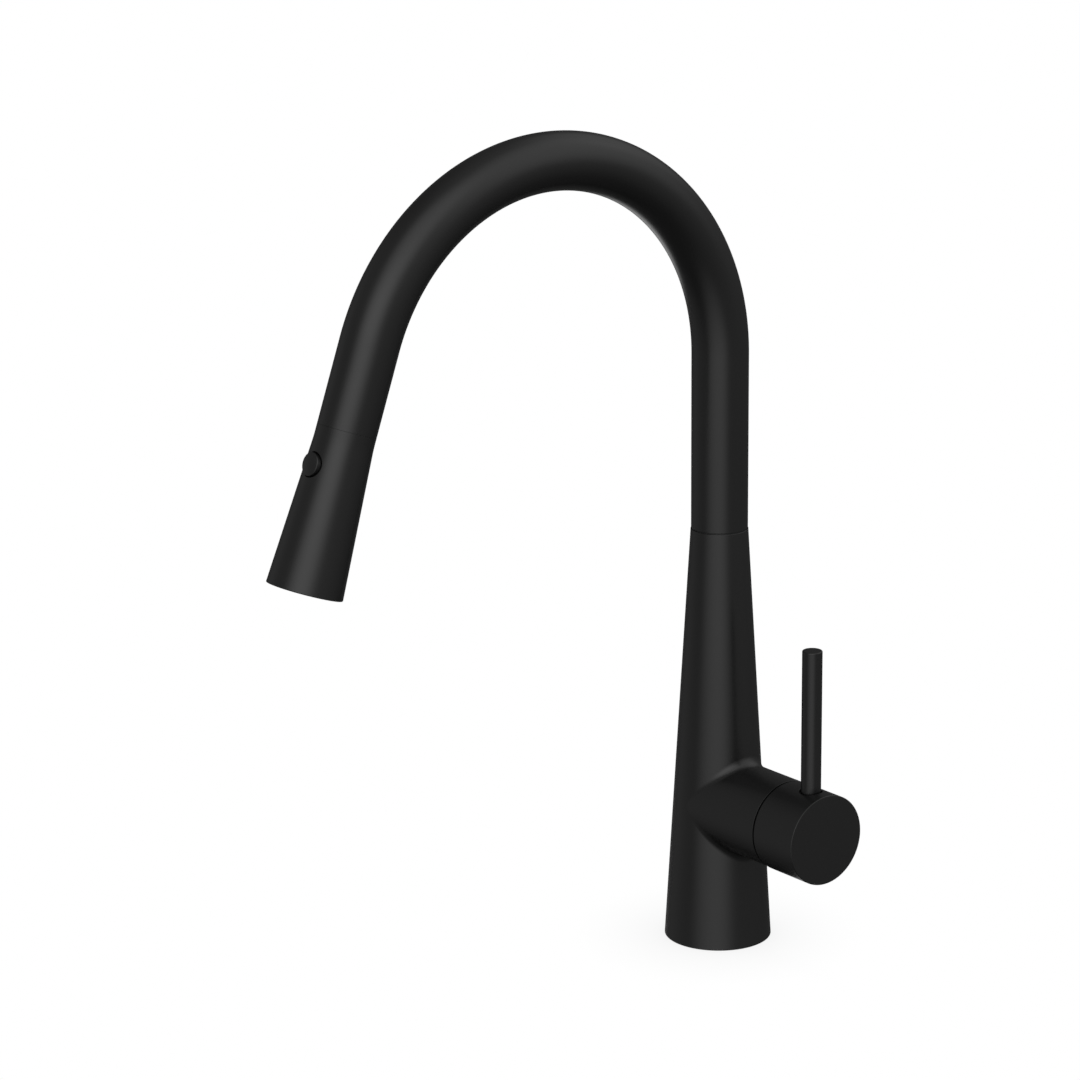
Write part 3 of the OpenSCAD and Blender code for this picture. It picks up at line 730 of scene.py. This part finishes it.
def studio_floor():
    """A pale floor that glows for the camera, with a contact shadow painted into the glow from ambient
    occlusion; light passes it, as round an object on a glass stand.
    """
    bpy.ops.mesh.primitive_plane_add(size=12, location=(0, 0, -0.05 * MM))
    floor = bpy.context.object
    floor.name = "studio_floor"
    m = bpy.data.materials.new("pale_floor")
    m.use_nodes = True
    nodes, links = m.node_tree.nodes, m.node_tree.links
    nodes.clear()
    out = nodes.new("ShaderNodeOutputMaterial")
    mix = nodes.new("ShaderNodeMixShader")
    path = nodes.new("ShaderNodeLightPath")
    glow = nodes.new("ShaderNodeEmission")
    shade = nodes.new("ShaderNodeAmbientOcclusion")
    shade.inputs["Distance"].default_value = 0.05
    # painted contact shadow: ambient occlusion dims the floor's glow from 1.0 down to 0.78 near the object
    painted_contact_shadow = nodes.new("ShaderNodeMapRange")
    painted_contact_shadow.inputs["To Min"].default_value = 0.78
    painted_contact_shadow.inputs["To Max"].default_value = 1.0
    clear = nodes.new("ShaderNodeBsdfTransparent")
    links.new(shade.outputs["AO"], painted_contact_shadow.inputs["Value"])
    links.new(painted_contact_shadow.outputs["Result"], glow.inputs["Strength"])
    links.new(path.outputs["Is Camera Ray"], mix.inputs["Fac"])
    links.new(clear.outputs["BSDF"], mix.inputs[1])
    links.new(glow.outputs["Emission"], mix.inputs[2])
    links.new(mix.outputs["Shader"], out.inputs["Surface"])
    floor.data.materials.append(m)


def direction(azimuth, elevation):
    """Unit vector towards a light or the camera; azimuth counts in degrees from -Y towards +X."""
    a, e = math.radians(azimuth), math.radians(elevation)
    return Vector((math.sin(a) * math.cos(e), -math.cos(a) * math.cos(e), math.sin(e)))


def soft_light(nodes, links, azimuth, elevation, width, brightness, others):
    """Adds to others, or to the dim room, a light that fades from its middle to width degrees away."""
    space = nodes.new("ShaderNodeTexCoord")
    toward = nodes.new("ShaderNodeVectorMath")
    toward.operation = "DOT_PRODUCT"
    toward.inputs[1].default_value = direction(azimuth, elevation)
    fade = nodes.new("ShaderNodeMapRange")
    fade.interpolation_type = "SMOOTHSTEP"
    fade.inputs["From Min"].default_value = math.cos(math.radians(width))
    fade.inputs["To Max"].default_value = brightness
    total = nodes.new("ShaderNodeMath")
    total.operation = "ADD"
    links.new(space.outputs["Generated"], toward.inputs[0])
    total.inputs[1].default_value = ROOM
    links.new(toward.outputs["Value"], fade.inputs["Value"])
    links.new(fade.outputs["Result"], total.inputs[0])
    if others:
        links.new(others, total.inputs[1])
    return total.outputs["Value"]


def studio_world():
    """White for the camera; for the object, a dim room with large soft lights."""
    world = bpy.data.worlds.new("studio")
    bpy.context.scene.world = world
    world.use_nodes = True
    nodes, links = world.node_tree.nodes, world.node_tree.links
    nodes.clear()
    out = nodes.new("ShaderNodeOutputWorld")
    mix = nodes.new("ShaderNodeMixShader")
    path = nodes.new("ShaderNodeLightPath")
    seen = nodes.new("ShaderNodeBackground")
    seen.inputs["Color"].default_value = (1, 1, 1, 1)
    room = nodes.new("ShaderNodeBackground")
    light = None
    for _, azimuth, elevation, width, brightness in STUDIO:
        light = soft_light(nodes, links, azimuth, elevation, width, brightness, light)
    links.new(light, room.inputs["Strength"])
    links.new(path.outputs["Is Camera Ray"], mix.inputs["Fac"])
    links.new(room.outputs["Background"], mix.inputs[1])
    links.new(seen.outputs["Background"], mix.inputs[2])
    links.new(mix.outputs["Shader"], out.inputs["Surface"])


def photo_camera():
    """The view of the photograph: right of the front, a little above."""
    back = direction(VIEW_AZIMUTH, VIEW_ELEVATION)
    right = direction(VIEW_AZIMUTH + 90, 0)
    up = back.cross(right)
    target = Vector((0, 0, VIEW_HEIGHT)) - VIEW_SIDE * right
    roll = math.radians(VIEW_ROLL)
    u = right * math.cos(roll) + up * math.sin(roll)
    v = up * math.cos(roll) - right * math.sin(roll)
    data = bpy.data.cameras.new("camera")
    data.sensor_width, data.lens = 36.0, LENS
    data.clip_start, data.clip_end = 0.05, 50
    cam = bpy.data.objects.new("camera", data)
    bpy.context.scene.collection.objects.link(cam)
    turn = Matrix((u, v, back)).transposed().to_4x4()
    cam.matrix_world = Matrix.Translation((target + back * VIEW_DISTANCE) * MM) @ turn
    bpy.context.scene.camera = cam


studio_floor()
studio_world()
photo_camera()
bpy.context.scene.view_settings.view_transform = "Standard"
bpy.context.scene.view_settings.look = "None"
